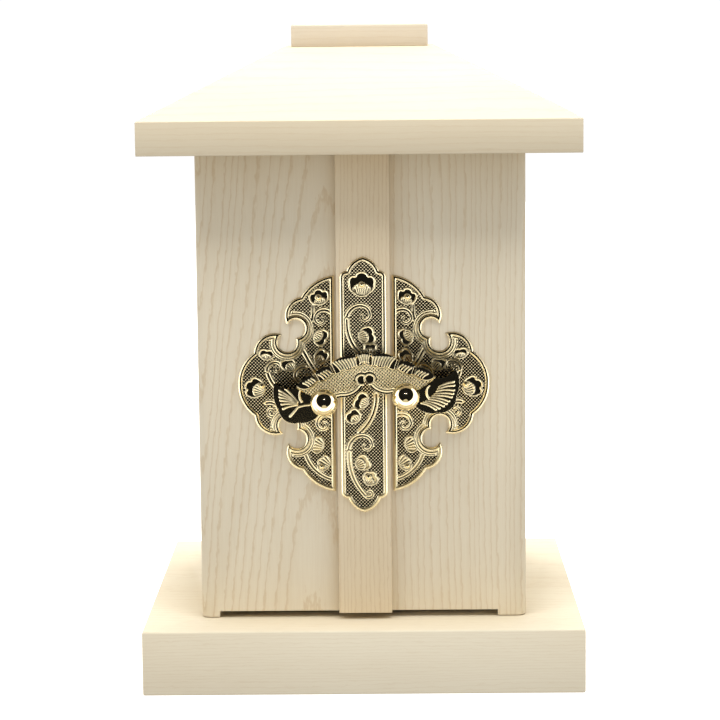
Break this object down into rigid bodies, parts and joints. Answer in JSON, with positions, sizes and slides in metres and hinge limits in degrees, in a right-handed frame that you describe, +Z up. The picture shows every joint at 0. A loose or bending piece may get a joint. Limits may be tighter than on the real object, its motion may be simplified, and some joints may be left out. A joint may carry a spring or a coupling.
{
  "type": "portable shrine",
  "caption": "Small hinoki shrine cabinet on a square plinth: hipped roof with a cap board, pivot-hung double doors, batten, and a gilt butterfly lock with chased plates.",
  "frame": {"origin": "middle of the plinth's underside", "axes": "+Z up, front towards -Y, +X to the right of a person who faces the doors"},
  "size_m": [0.18, 0.18, 0.27],
  "materials": {
    "hinoki": "planed, unfinished",
    "gilt": "polished gold plate"
  },
  "bodies": {
    "root": {"plinth": "hinoki", "wall_left": "hinoki", "wall_right": "hinoki", "wall_back": "hinoki", "roof": "hinoki", "roof_cap": "hinoki"},
    "right_door": {"door_right": "hinoki", "door_batten": "hinoki", "plate_centre": "gilt", "plate_right": "gilt", "clasp": "gilt", "pin_left": "gilt", "pin_right": "gilt", "nail_centre_top": "gilt", "nail_centre_low": "gilt", "nail_right_top": "gilt", "nail_right_side": "gilt", "nail_right_low": "gilt"},
    "left_door": {"door_left": "hinoki", "plate_left": "gilt", "nail_left_top": "gilt", "nail_left_side": "gilt", "nail_left_low": "gilt"}
  },
  "joints": [
    {"name": "right_door_pivot", "type": "hinge", "parent": "root", "child": "right_door", "pos_m": [0.0632, -0.0618, 0.1228], "axis": [0, 0, 1], "range_deg": [0, 180]},
    {"name": "left_door_pivot", "type": "hinge", "parent": "root", "child": "left_door", "pos_m": [-0.0632, -0.0618, 0.1228], "axis": [0, 0, -1], "range_deg": [0, 180]}
  ],
  "couplings": [
    {"joint": "left_door_pivot", "follows": "right_door_pivot", "ratio": 1}
  ]
}
